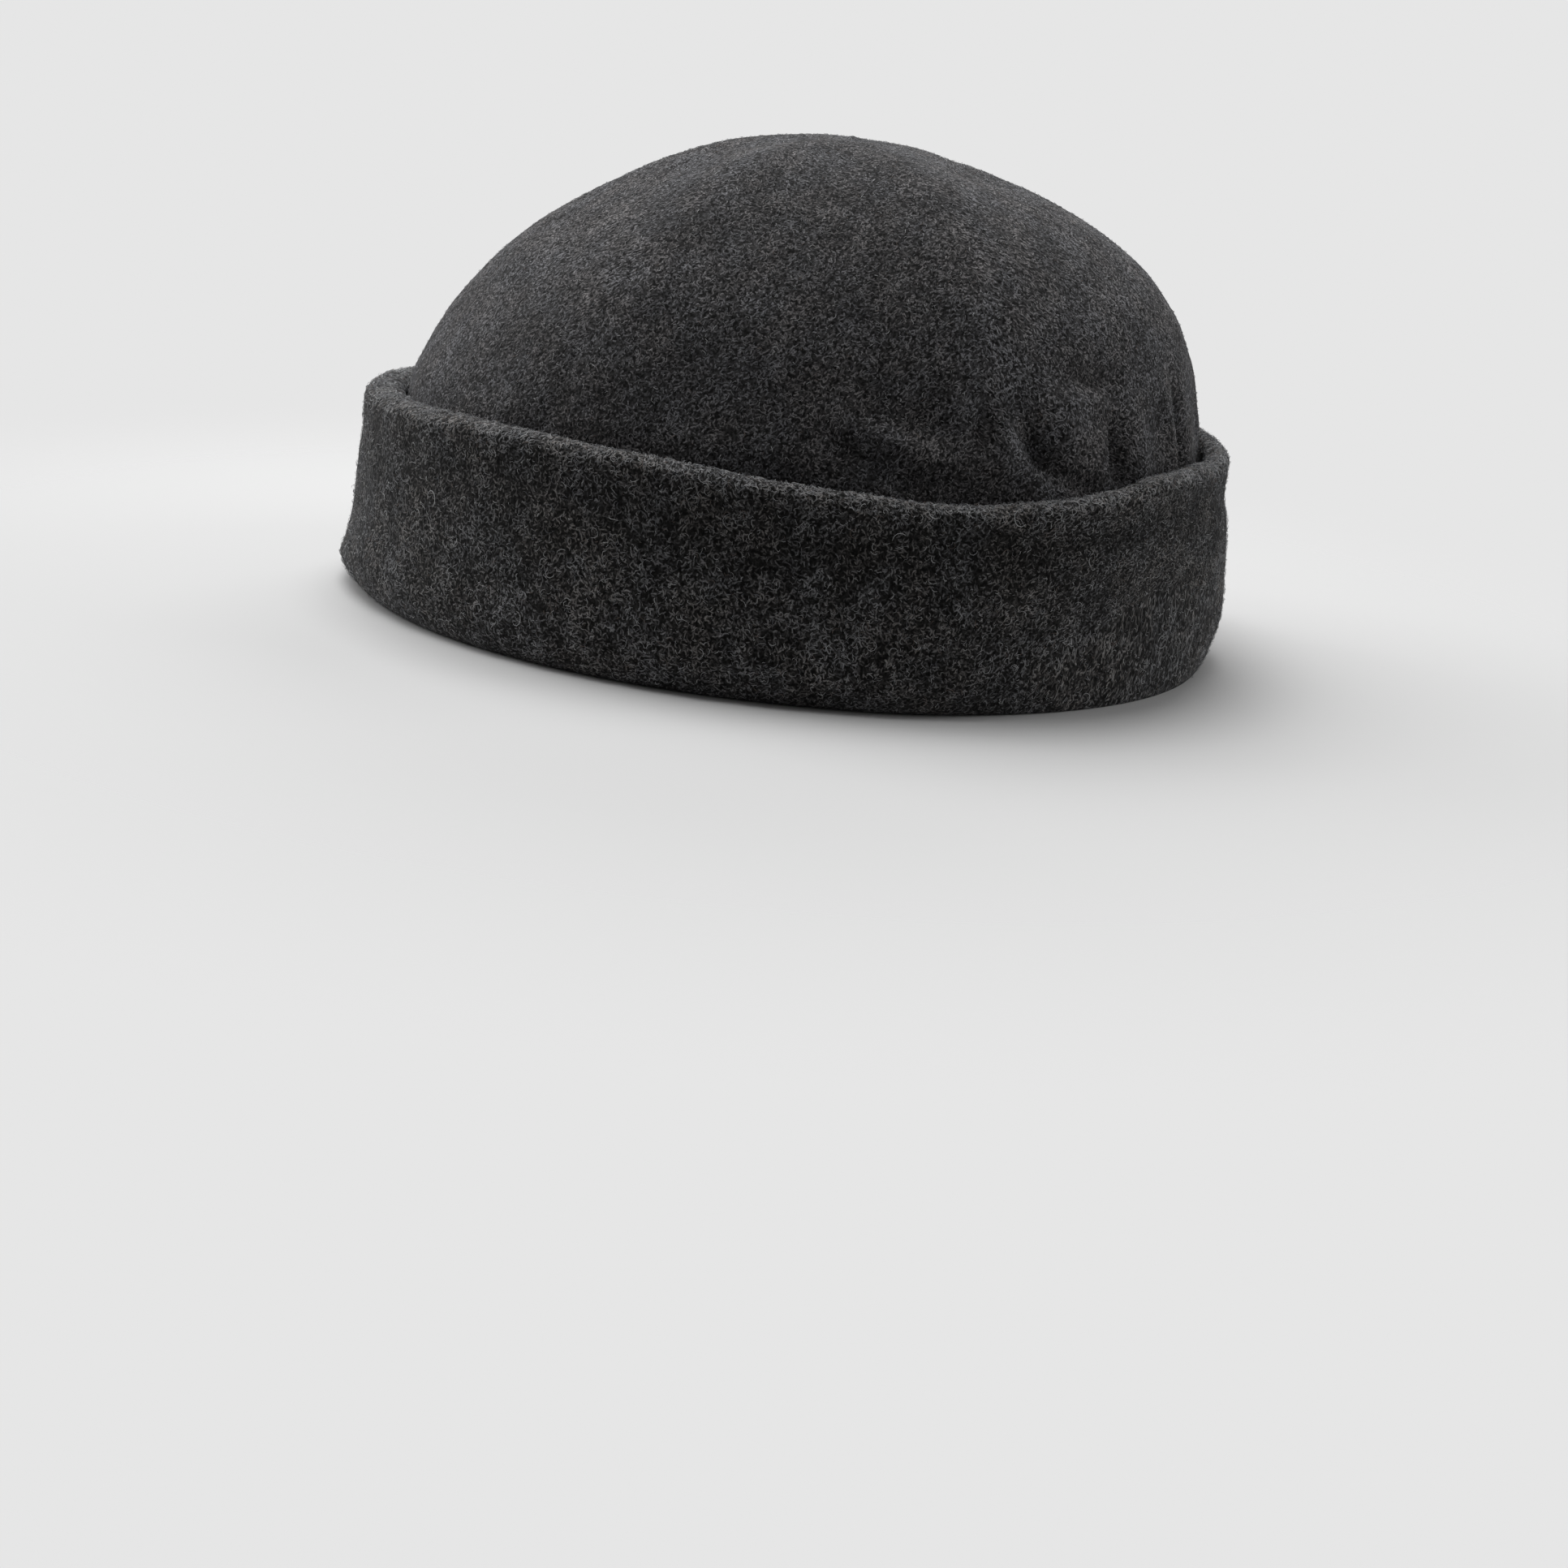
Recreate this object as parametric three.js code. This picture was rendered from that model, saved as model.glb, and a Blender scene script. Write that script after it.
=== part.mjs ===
// A fisherman beanie: a close knit cap of felted charcoal wool, with a deep turned-up cuff.
// Six tapered panels meet in seams from the hem to the top, and the cuff is one doubled band
// whose soft fold carries the panels' lower edges. The cap stands on the flattened fold.
// Millimetres, +Z up, the wearer's face toward -Y and the wearer's left toward +X.
// The origin is on the floor under the middle of the whole cap.
import * as THREE from 'three';

// Crown, measured over its outer face
const crownLength = 195;
const crownWidth = 162;
const crownHeight = 116;
const crownCloth = 2.8;

// Seams between the panels: a narrow gap in the bottom of a fine groove. In its upper part the
// crown is a soft polygon, whose corners are the seams: cornerHeight is how far they stand out
// of the middles of the panels, and cornerRound is how soft they are.
const seamGap = 0.3;
const seamDip = 0.4;
const seamReach = 3.5;
const cornerHeight = 2.2;
const cornerRound = 0.15;

// The deepest of the crown's folds, out of or into its skin
const foldDepth = 4;

// Cuff: the doubled band round the crown's foot. It stands off the crown by cuffRoom at its
// upper edge and by cuffSettle at the seat. cuffToe is how far its foot kicks out, cuffBelly is
// how far its wall swells, and cuffNeck is how far the wall is drawn in under its upper edge.
const cuffHeight = 49;
const cuffCloth = 5.6;
const cuffRoom = 4.2;
const cuffSettle = 0.5;
const cuffToe = 4;
const cuffBelly = 1.2;
const cuffNeck = 0.9;

// The fold under the cuff: the crown's panels are seated on it at foldSeat, and foldFlat is the
// width of its underside that lies flat on the floor
const foldSeat = 7;
const foldFlat = 3.4;
const foldInnerRound = 2.4;
const foldOuterRound = 9;

// How much wider the head is behind its middle than before it
const eggShare = 0.02;

// The panels in order, from the front toward the wearer's left. Those with folds have more
// columns of facets.
const panels = [
  { name: 'panel_front_left', columns: 10 },
  { name: 'panel_left', columns: 16 },
  { name: 'panel_back_left', columns: 24 },
  { name: 'panel_back_right', columns: 10 },
  { name: 'panel_right', columns: 10 },
  { name: 'panel_front_right', columns: 10 },
];
const panelRows = 24;
const lastRowShare = 0.965;
const cuffColumns = 60;
const cuffWallSteps = 7;
const cuffRoundSteps = 5;
const cuffEdgeSteps = 6;

// Rings of the crown, from its lower edge on the fold to the top. rise is the share of the
// height above the fold, reach and girth are shares of half the length and half the width, and
// set is how far a ring's middle lies behind the cap's, as a share of half the length.
const crownRings = [
  { rise: 0.0, reach: 1.0, girth: 1.0, set: -0.012 },
  { rise: 0.2, reach: 0.997, girth: 0.996, set: -0.012 },
  { rise: 0.39, reach: 0.974, girth: 0.976, set: -0.008 },
  { rise: 0.46, reach: 0.956, girth: 0.958, set: 0.0 },
  { rise: 0.535, reach: 0.926, girth: 0.93, set: 0.012 },
  { rise: 0.61, reach: 0.882, girth: 0.892, set: 0.027 },
  { rise: 0.69, reach: 0.819, girth: 0.832, set: 0.044 },
  { rise: 0.765, reach: 0.735, girth: 0.75, set: 0.058 },
  { rise: 0.835, reach: 0.63, girth: 0.65, set: 0.067 },
  { rise: 0.905, reach: 0.492, girth: 0.514, set: 0.067 },
  { rise: 0.96, reach: 0.333, girth: 0.354, set: 0.057 },
  { rise: 0.99, reach: 0.17, girth: 0.183, set: 0.05 },
  { rise: 1.0, reach: 0.0, girth: 0.0, set: 0.05 },
];

// Folds and dents of the standing crown. turn is degrees from the front toward the wearer's
// left, rise is a share of the crown's height, across and along are half-widths as shares of
// that height, lean tips the fold's length from upright toward greater turns, in degrees, and
// push is a share of foldDepth, out of the skin where it is positive.
const crownFolds = [
  { turn: 108.3, rise: 0.49, across: 0.022, along: 0.085, lean: 107, push: 0.45 },
  { turn: 108, rise: 0.452, across: 0.03, along: 0.1, lean: 106, push: -0.45 },
  { turn: 112.5, rise: 0.533, across: 0.022, along: 0.06, lean: 100, push: -0.42 },
  { turn: 120, rise: 0.528, across: 0.018, along: 0.035, lean: 0, push: -0.35 },
  { turn: 123.5, rise: 0.5, across: 0.02, along: 0.055, lean: -5, push: 0.25 },
  { turn: 128.3, rise: 0.505, across: 0.02, along: 0.055, lean: -30, push: -0.7 },
  { turn: 131.5, rise: 0.462, across: 0.02, along: 0.05, lean: -48, push: -0.55 },
  { turn: 137, rise: 0.43, across: 0.02, along: 0.045, lean: -60, push: -0.35 },
  { turn: 134.5, rise: 0.53, across: 0.043, along: 0.07, lean: -35, push: 0.5 },
  { turn: 137.5, rise: 0.585, across: 0.022, along: 0.07, lean: 95, push: 0.2 },
  { turn: 139.5, rise: 0.617, across: 0.024, along: 0.07, lean: 92, push: -0.4 },
  { turn: 144.8, rise: 0.47, across: 0.017, along: 0.1, lean: -6, push: -0.72 },
  { turn: 150, rise: 0.49, across: 0.024, along: 0.085, lean: -6, push: 0.42 },
  { turn: 157, rise: 0.53, across: 0.026, along: 0.06, lean: -4, push: -0.2 },
  { turn: 159.5, rise: 0.49, across: 0.02, along: 0.09, lean: 0, push: 0.35 },
  { turn: 164.6, rise: 0.485, across: 0.018, along: 0.11, lean: 0, push: -0.8 },
  { turn: 176, rise: 0.5, across: 0.06, along: 0.1, lean: 0, push: -0.3 },
  { turn: 180, rise: 0.94, across: 0.1, along: 0.09, lean: 0, push: -0.35 },
  { turn: 20, rise: 0.74, across: 0.16, along: 0.07, lean: 0, push: 0.2 },
  { turn: 236, rise: 0.5, across: 0.04, along: 0.09, lean: 12, push: -0.4 },
  { turn: 247, rise: 0.53, across: 0.045, along: 0.1, lean: -8, push: 0.3 },
  { turn: 318, rise: 0.5, across: 0.04, along: 0.08, lean: -10, push: -0.3 },
];

// Waves of the cuff round the cap. turn is as above, height is the upper edge's as a share of
// cuffHeight, and room, toe, belly and foot are shares of cuffRoom, cuffToe, cuffBelly and
// foldOuterRound. plump is the share of the room that the doubled cloth fills, which makes the
// cuff thicker there.
const cuffWaves = [
  { turn: 0, height: 1.0, room: 1.04, toe: 1.65, belly: -0.6, foot: 0.75, plump: 1.0 },
  { turn: 30, height: 1.005, room: 0.9, toe: 0.85, belly: -0.2, foot: 1.15, plump: 0.9 },
  { turn: 52, height: 1.035, room: 0.7, toe: 0.5, belly: -0.3, foot: 1.2, plump: 0.5 },
  { turn: 76, height: 1.02, room: 0.45, toe: 0.45, belly: 0.2, foot: 1.1, plump: 0.2 },
  { turn: 98, height: 0.975, room: 0.35, toe: 0.45, belly: -0.1, foot: 0.9, plump: 0.0 },
  { turn: 117, height: 0.94, room: 0.4, toe: 0.6, belly: 0.3, foot: 0.8, plump: 0.0 },
  { turn: 135, height: 0.99, room: 0.85, toe: 0.0, belly: -0.4, foot: 2.0, plump: 0.1 },
  { turn: 152, height: 1.065, room: 0.7, toe: -0.5, belly: -0.4, foot: 2.9, plump: 0.2 },
  { turn: 168, height: 1.07, room: 0.35, toe: -0.1, belly: -0.1, foot: 2.5, plump: 0.1 },
  { turn: 186, height: 1.075, room: 0.15, toe: 0.55, belly: 0.0, foot: 1.7, plump: 0.0 },
  { turn: 207, height: 1.085, room: 0.3, toe: 0.4, belly: 0.2, foot: 1.4, plump: 0.0 },
  { turn: 240, height: 1.02, room: 0.5, toe: 0.4, belly: -0.3, foot: 1.0, plump: 0.0 },
  { turn: 275, height: 1.005, room: 0.45, toe: 0.5, belly: 0.3, foot: 1.1, plump: 0.2 },
  { turn: 310, height: 0.985, room: 0.6, toe: 0.45, belly: -0.3, foot: 1.0, plump: 0.3 },
  { turn: 338, height: 0.985, room: 0.85, toe: 0.9, belly: -0.4, foot: 0.9, plump: 0.8 },
];

const fullTurn = 2 * Math.PI;
const panelTurn = fullTurn / panels.length;
const foldTop = foldSeat + seamGap;
const crownRise = crownHeight - foldTop;

function radians(degrees) {
  return (degrees * Math.PI) / 180;
}

function smooth(share) {
  const t = Math.min(1, Math.max(0, share));
  return t * t * (3 - 2 * t);
}

// A soft curve that passes through b at t = 0 and c at t = 1, led in by a and out by d
function soften(a, b, c, d, t) {
  const slopeB = (c - a) / 2;
  const slopeC = (d - b) / 2;
  const t2 = t * t;
  const t3 = t2 * t;
  return (2 * t3 - 3 * t2 + 1) * b + (t3 - 2 * t2 + t) * slopeB
    + (3 * t2 - 2 * t3) * c + (t3 - t2) * slopeC;
}

// The crown's ring at a share of the way from its lower edge to its top. Past the top the
// cap comes down again on the far side, which makes the top round.
function ringAt(share) {
  const last = crownRings.length - 1;
  const place = Math.min(Math.max(share, 0), 1) * last;
  const i = Math.min(Math.floor(place), last - 1);
  const before = crownRings[Math.max(i - 1, 0)];
  const under = crownRings[last - 1];
  const after = i + 2 > last
    ? { ...under, reach: -under.reach, girth: -under.girth }
    : crownRings[i + 2];
  const ring = {};
  for (const column of ['rise', 'reach', 'girth', 'set']) {
    ring[column] = soften(before[column], crownRings[i][column], crownRings[i + 1][column],
      after[column], place - i);
  }
  return ring;
}

// The crown's smooth form, without seams and folds
function crownForm(turn, share) {
  const ring = ringAt(share);
  const reach = (ring.reach * crownLength) / 2;
  const girth = (ring.girth * crownWidth) / 2;
  const middle = (ring.set * crownLength) / 2;
  return new THREE.Vector3(
    girth * Math.sin(turn) * (1 - eggShare * Math.cos(turn)),
    middle - reach * Math.cos(turn),
    foldTop + ring.rise * crownRise,
  );
}

// The outward direction of a surface given as a function of turn and share
function outward(surface, turn, share) {
  const step = 0.002;
  const low = Math.max(share - step, 0);
  const high = Math.min(share + step, 1 - step / 4);
  const round = surface(turn + step, share).sub(surface(turn - step, share));
  const up = surface(turn, high).sub(surface(turn, low));
  return round.cross(up).normalize();
}

// How far seams, corners and folds move the skin out of the smooth form. The cuff presses them
// flat behind its lower half, and seams and corners run out where they meet at the top.
function crownPush(turn, share) {
  const ring = ringAt(share);
  const radius = (ring.reach * crownLength + ring.girth * crownWidth) / 4;
  const height = foldTop + ring.rise * crownRise;
  const fromSeam = (turn / panelTurn - Math.round(turn / panelTurn)) * panelTurn * radius;
  const valley = Math.exp(-((fromSeam / seamReach) ** 2)) * smooth(radius / (3 * seamReach));
  const corner = Math.hypot(Math.sin((turn * panels.length) / 2), cornerRound);
  const upper = smooth((height / crownHeight - 0.35) / 0.25) * smooth(radius / (10 * seamReach));
  let push = cornerHeight * (0.25 - corner) * upper - seamDip * valley;
  for (const fold of crownFolds) {
    const away = (turn - radians(fold.turn)) / fullTurn;
    const sideways = (away - Math.round(away)) * fullTurn * radius;
    const upward = height - fold.rise * crownHeight;
    const lean = radians(fold.lean);
    const across = (sideways * Math.cos(lean) - upward * Math.sin(lean)) / fold.across;
    const along = (sideways * Math.sin(lean) + upward * Math.cos(lean)) / fold.along;
    push += foldDepth * fold.push * Math.exp(-(across ** 2 + along ** 2) / crownHeight ** 2);
  }
  return push * smooth(2 * (height / cuffHeight) - 1);
}

function crownSkin(turn, share) {
  const form = crownForm(turn, share);
  return form.addScaledVector(outward(crownForm, turn, share), crownPush(turn, share));
}

// The share of the crown at a height above the floor
function shareAtHeight(height) {
  let low = 0;
  let high = 1;
  for (let i = 0; i < 40; i += 1) {
    const middle = (low + high) / 2;
    if (foldTop + ringAt(middle).rise * crownRise < height) {
      low = middle;
    } else {
      high = middle;
    }
  }
  return (low + high) / 2;
}

// Joins two rows of points into a band of triangles. It faces the viewer who sees the rows
// run to the right with the upper one above.
function band(index, lower, upper) {
  for (let i = 0; i + 1 < lower.length; i += 1) {
    index.push(lower[i], lower[i + 1], upper[i + 1]);
    index.push(lower[i], upper[i + 1], upper[i]);
  }
}

function solid(points, index) {
  const geometry = new THREE.BufferGeometry();
  const flat = points.flatMap((point) => [point.x, point.y, point.z]);
  geometry.setAttribute('position', new THREE.Float32BufferAttribute(flat, 3));
  geometry.setIndex(index);
  geometry.computeVertexNormals();
  return geometry;
}

// One panel of the crown: an outer and an inner skin, closed along the seams and the lower
// edge, that come to a point beside the middle of the top
function panelGeometry(order, columns) {
  const points = [];
  const index = [];
  const outer = [];
  const inner = [];
  const start = order * panelTurn;
  for (let row = 0; row < panelRows; row += 1) {
    const share = (lastRowShare * row) / (panelRows - 1);
    const outerRow = [];
    const innerRow = [];
    for (let column = 0; column <= columns; column += 1) {
      const plain = start + (panelTurn * column) / columns;
      const step = 0.001;
      const speed = crownForm(plain + step, share).distanceTo(crownForm(plain - step, share))
        / (2 * step);
      const turn = plain + (seamGap / 2 / speed) * (1 - (2 * column) / columns);
      const skin = crownSkin(turn, share);
      const lining = skin.clone().addScaledVector(outward(crownSkin, turn, share), -crownCloth);
      if (row === 0) {
        skin.z = foldTop;
        lining.z = foldTop;
      }
      outerRow.push(points.push(skin) - 1);
      innerRow.push(points.push(lining) - 1);
    }
    outer.push(outerRow);
    inner.push(innerRow);
  }
  const top = crownForm(0, 1);
  const middle = start + panelTurn / 2;
  const aside = seamGap / 2 / Math.sin(panelTurn / 2);
  const tip = new THREE.Vector3(aside * Math.sin(middle), top.y - aside * Math.cos(middle), top.z);
  const outerTip = points.push(tip) - 1;
  const innerTip = points.push(tip.clone().setZ(tip.z - crownCloth)) - 1;
  for (let row = 0; row + 1 < panelRows; row += 1) {
    band(index, outer[row], outer[row + 1]);
    band(index, inner[row + 1], inner[row]);
  }
  const lastOuter = outer[panelRows - 1];
  const lastInner = inner[panelRows - 1];
  for (let column = 0; column < columns; column += 1) {
    index.push(lastOuter[column], lastOuter[column + 1], outerTip);
    index.push(lastInner[column + 1], lastInner[column], innerTip);
  }
  band(index, inner[0], outer[0]);
  const seam = (skins, tipPoint, column) => [...skins.map((row) => row[column]), tipPoint];
  band(index, seam(outer, outerTip, 0), seam(inner, innerTip, 0));
  band(index, seam(inner, innerTip, columns), seam(outer, outerTip, columns));
  return solid(points, index);
}

// A value of the cuff's waves at a turn, softly between its rows
function waveAt(turn, column) {
  const degrees = (turn * 360) / fullTurn;
  const count = cuffWaves.length;
  let i = count - 1;
  while (cuffWaves[i].turn > degrees) {
    i -= 1;
  }
  const row = (k) => cuffWaves[(k + count) % count];
  const width = (row(i + 1).turn - row(i).turn + 360) % 360;
  return soften(row(i - 1)[column], row(i)[column], row(i + 1)[column], row(i + 2)[column],
    (degrees - row(i).turn) / width);
}

// The outline of the cuff's wall at one turn, as distances out of the crown's smooth form and
// heights above the floor: round the foot and up the outside, over the rounded edge, down to
// the seat, in under the crown's panels and round to the floor
function cuffOutline(turn) {
  const edgeRound = cuffCloth / 2;
  const edgeHeight = cuffHeight * waveAt(turn, 'height') - edgeRound;
  const footHeight = foldOuterRound * waveAt(turn, 'foot');
  const room = cuffSettle + (cuffRoom - cuffSettle) * waveAt(turn, 'room');
  const toe = cuffToe * waveAt(turn, 'toe');
  const belly = cuffBelly * waveAt(turn, 'belly');
  const plump = waveAt(turn, 'plump');
  const neck = cuffNeck * (1 - plump / 2);
  const innerRoom = room - (room - cuffSettle) * plump;
  const opened = (height) => smooth((height - foldSeat) / (edgeHeight - foldSeat));
  const gapAt = (height) => cuffSettle + (innerRoom - cuffSettle) * opened(height);
  const faceAt = (height) => {
    const share = (height - footHeight) / (edgeHeight - footHeight);
    return cuffSettle + (room - cuffSettle) * opened(height) + cuffCloth
      + toe * (1 - share) ** 2 + belly * Math.sin(Math.PI * share)
      - neck * Math.exp(-(((share - 0.78) / 0.14) ** 2));
  };
  const outline = [];
  const round = (out, up, wide, high, from, to, steps) => {
    for (let i = 0; i <= steps; i += 1) {
      const angle = radians(from + ((to - from) * i) / steps);
      outline.push({ out: out + wide * Math.cos(angle), up: up + high * Math.sin(angle) });
    }
  };
  const flatFrom = foldInnerRound - crownCloth;
  const flatTo = flatFrom + foldFlat;
  round(flatTo, footHeight, faceAt(footHeight) - flatTo, footHeight, -90, 0, cuffRoundSteps);
  for (let i = 1; i < cuffWallSteps; i += 1) {
    const height = footHeight + ((edgeHeight - footHeight) * i) / cuffWallSteps;
    outline.push({ out: faceAt(height), up: height });
  }
  const edgeWide = (room + cuffCloth - innerRoom) / 2;
  round(innerRoom + edgeWide, edgeHeight, edgeWide, edgeRound, 0, 180, cuffEdgeSteps);
  for (let i = 1; i < cuffWallSteps; i += 1) {
    const height = edgeHeight - ((edgeHeight - foldSeat) * i) / cuffWallSteps;
    outline.push({ out: gapAt(height), up: height });
  }
  outline.push({ out: cuffSettle, up: foldSeat });
  outline.push({ out: -crownCloth, up: foldSeat });
  round(flatFrom, foldInnerRound, foldInnerRound, foldInnerRound, 180, 270, cuffRoundSteps - 2);
  return outline;
}

function cuffGeometry() {
  const points = [];
  const index = [];
  const rings = [];
  for (let column = 0; column < cuffColumns; column += 1) {
    const turn = (fullTurn * column) / cuffColumns;
    const ring = [];
    for (const { out, up } of cuffOutline(turn)) {
      const share = shareAtHeight(up);
      const sideways = outward(crownForm, turn, share).setZ(0).normalize();
      const point = crownForm(turn, share).addScaledVector(sideways, out).setZ(up);
      ring.push(points.push(point) - 1);
    }
    ring.push(ring[0]);
    rings.push(ring);
  }
  rings.push(rings[0]);
  for (let column = 0; column < cuffColumns; column += 1) {
    band(index, rings[column + 1], rings[column]);
  }
  return solid(points, index);
}

// Charcoal wool, a little lighter where the crown's nap is smooth
const crownWool = new THREE.MeshStandardMaterial({ color: 0x3c3e42, roughness: 0.95, metalness: 0 });
const cuffWool = new THREE.MeshStandardMaterial({ color: 0x313235, roughness: 0.97, metalness: 0 });

const beanie = new THREE.Group();
beanie.name = 'fisherman_beanie';

panels.forEach(({ name, columns }, order) => {
  const mesh = new THREE.Mesh(panelGeometry(order, columns), crownWool.clone());
  mesh.name = name;
  beanie.add(mesh);
});

const cuff = new THREE.Mesh(cuffGeometry(), cuffWool);
cuff.name = 'cuff';
beanie.add(cuff);

// The origin lies under the middle of the cap
const middle = new THREE.Box3().setFromObject(beanie).getCenter(new THREE.Vector3());
beanie.position.set(-middle.x, -middle.y, 0);

export default beanie;
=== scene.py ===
# A fisherman beanie: a close knit cap of felted charcoal wool that stands on its turned-up cuff.
# Six tapered panels make the crown, the cuff is one doubled band round its foot, and light curly
# fibres stand out of both. Metres, +Z up, the wearer's face toward -Y, the left toward +X.
import math

import bpy
import numpy as np
from mathutils import Matrix, Vector, noise


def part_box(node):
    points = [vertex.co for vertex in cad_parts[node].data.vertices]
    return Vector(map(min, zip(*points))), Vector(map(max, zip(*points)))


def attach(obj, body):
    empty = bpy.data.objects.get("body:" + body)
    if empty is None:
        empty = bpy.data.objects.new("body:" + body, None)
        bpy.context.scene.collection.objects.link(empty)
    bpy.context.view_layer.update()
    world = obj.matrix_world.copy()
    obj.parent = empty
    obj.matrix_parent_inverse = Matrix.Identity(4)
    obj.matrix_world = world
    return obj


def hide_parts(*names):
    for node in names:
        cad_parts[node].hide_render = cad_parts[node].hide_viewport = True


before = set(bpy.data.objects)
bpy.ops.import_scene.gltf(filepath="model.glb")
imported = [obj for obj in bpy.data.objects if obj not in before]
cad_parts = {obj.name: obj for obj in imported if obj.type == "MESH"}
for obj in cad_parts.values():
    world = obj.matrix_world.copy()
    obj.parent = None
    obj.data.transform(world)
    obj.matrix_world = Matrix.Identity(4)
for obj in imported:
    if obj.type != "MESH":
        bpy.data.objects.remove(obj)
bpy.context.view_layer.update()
mm = 0.001

# The crown's panels
# Each is one piece of felted wool knit about 3 mm thick, cut to a tapering gore and sewn to its
# neighbours, so that every seam is a fine groove along a soft corner of the crown. The lower
# part is pressed smooth behind the cuff, and above it the cloth has small folds.
crown_length = 195 * mm
crown_width = 162 * mm
crown_height = 116 * mm
crown_cloth = 2.8 * mm
fold_seat = 7 * mm
seam_gap = 0.05 * mm
seam_dip = 0.4 * mm
seam_reach = 3.5 * mm
corner_height = 2.2 * mm
corner_round = 0.15
corner_even = 0.25
corner_from = 0.35
corner_grows = 0.25
crease_dip = 0.12 * mm
crease_reach = 1.3 * mm
stitch_line = 3.2 * mm
stitch_dip = 0.09 * mm
stitch_reach = 0.9 * mm
fold_depth = 4 * mm
egg_share = 0.02
panel_names = ["panel_front_left", "panel_left", "panel_back_left",
               "panel_back_right", "panel_right", "panel_front_right"]
# Painted shade and sheen per panel, a factor on each panel's brightness: the panel on the wearer's
# left, which faces the camera, is painted darkest
panel_painted_shades = [1.03, 0.88, 1.05, 0.97, 1.0, 0.95]
panel_columns = 60
panel_rows = 92
column_packing = 0.6
last_row_share = 0.985
tip_sink = 0.2 * mm
sharp_edge = math.radians(60)
panel_turn = math.tau / len(panel_names)
fold_top = fold_seat + 0.3 * mm
crown_rise = crown_height - fold_top
cuff_height = 49 * mm
small_step = 0.001

# Each panel has its own place on the cloth's map, and its lining lies far beside it
map_spacing = 0.12
lining_away = (1, 0)

# Unevenness of the felt: the size of its lumps, how high they are, and a seed
broad_lumps = (8 * mm, 0.22 * mm, 3.1)
fine_lumps = (2.4 * mm, 0.1 * mm, 8.7)

# Rings from the lower edge to the top: rise is a share of the height above the fold, reach and
# girth are shares of half the length and half the width, and set is how far back a ring lies,
# as a share of half the length.
ring_columns = ("rise", "reach", "girth", "set")
crown_rings = np.array([
    (0.0, 1.0, 1.0, -0.012),
    (0.2, 0.997, 0.996, -0.012),
    (0.39, 0.974, 0.976, -0.008),
    (0.46, 0.956, 0.958, 0.0),
    (0.535, 0.926, 0.93, 0.012),
    (0.61, 0.882, 0.892, 0.027),
    (0.69, 0.819, 0.832, 0.044),
    (0.765, 0.735, 0.75, 0.058),
    (0.835, 0.63, 0.65, 0.067),
    (0.905, 0.492, 0.514, 0.067),
    (0.96, 0.333, 0.354, 0.057),
    (0.99, 0.17, 0.183, 0.05),
    (1.0, 0.0, 0.0, 0.05),
])

# Folds: turn in degrees from the front toward the left, rise as a share of the cap's height,
# half-widths across and along as shares of it, the lean of the fold's length from upright, and
# push as a share of fold_depth, out of the skin where it is positive.
crown_folds = [
    (108.3, 0.49, 0.022, 0.085, 107, 0.45),
    (108, 0.452, 0.03, 0.1, 106, -0.45),
    (112.5, 0.533, 0.022, 0.06, 100, -0.42),
    (120, 0.528, 0.018, 0.035, 0, -0.35),
    (123.5, 0.5, 0.02, 0.055, -5, 0.25),
    (128.3, 0.505, 0.02, 0.055, -30, -0.7),
    (131.5, 0.462, 0.02, 0.05, -48, -0.55),
    (137, 0.43, 0.02, 0.045, -60, -0.35),
    (134.5, 0.53, 0.043, 0.07, -35, 0.5),
    (137.5, 0.585, 0.022, 0.07, 95, 0.2),
    (139.5, 0.617, 0.024, 0.07, 92, -0.4),
    (144.8, 0.47, 0.017, 0.1, -6, -0.72),
    (150, 0.49, 0.024, 0.085, -6, 0.42),
    (157, 0.53, 0.026, 0.06, -4, -0.2),
    (159.5, 0.49, 0.02, 0.09, 0, 0.35),
    (164.6, 0.485, 0.018, 0.11, 0, -0.8),
    (176, 0.5, 0.06, 0.1, 0, -0.3),
    (180, 0.94, 0.1, 0.09, 0, -0.35),
    (20, 0.74, 0.16, 0.07, 0, 0.2),
    (236, 0.5, 0.04, 0.09, 12, -0.4),
    (247, 0.53, 0.045, 0.1, -8, 0.3),
    (318, 0.5, 0.04, 0.08, -10, -0.3),
]


def smooth(share):
    """0 below 0, 1 above 1, and a soft step between."""
    t = np.clip(share, 0, 1)
    return t * t * (3 - 2 * t)


def soften(a, b, c, d, t):
    """A soft curve from b to c, led in by a and out by d."""
    slope_b = (c - a) / 2
    slope_c = (d - b) / 2
    return ((2 * t**3 - 3 * t**2 + 1) * b + (t**3 - 2 * t**2 + t) * slope_b
            + (3 * t**2 - 2 * t**3) * c + (t**3 - t**2) * slope_c)


def ring_at(share):
    """rise, reach, girth and set at shares of the way from the lower edge to the top."""
    last = len(crown_rings) - 1
    place = np.clip(share, 0, 1) * last
    i = np.minimum(place.astype(int), last - 1)
    past_top = crown_rings[last - 1] * (1, -1, -1, 1)
    rows = np.vstack([crown_rings[:1], crown_rings, past_top])
    t = (place - i)[..., None]
    ring = soften(rows[i], rows[i + 1], rows[i + 2], rows[i + 3], t)
    return [ring[..., k] for k in range(len(ring_columns))]


def crown_form(turn, share):
    """Points of the crown's smooth form, without seams and folds."""
    rise, reach, girth, middle = ring_at(share)
    across = girth * crown_width / 2 * np.sin(turn) * (1 - egg_share * np.cos(turn))
    back = middle * crown_length / 2 - reach * crown_length / 2 * np.cos(turn)
    return np.stack([across, back, fold_top + rise * crown_rise], axis=-1)


def unit(vectors):
    """The vectors at length 1."""
    return vectors / np.linalg.norm(vectors, axis=-1, keepdims=True)


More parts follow.
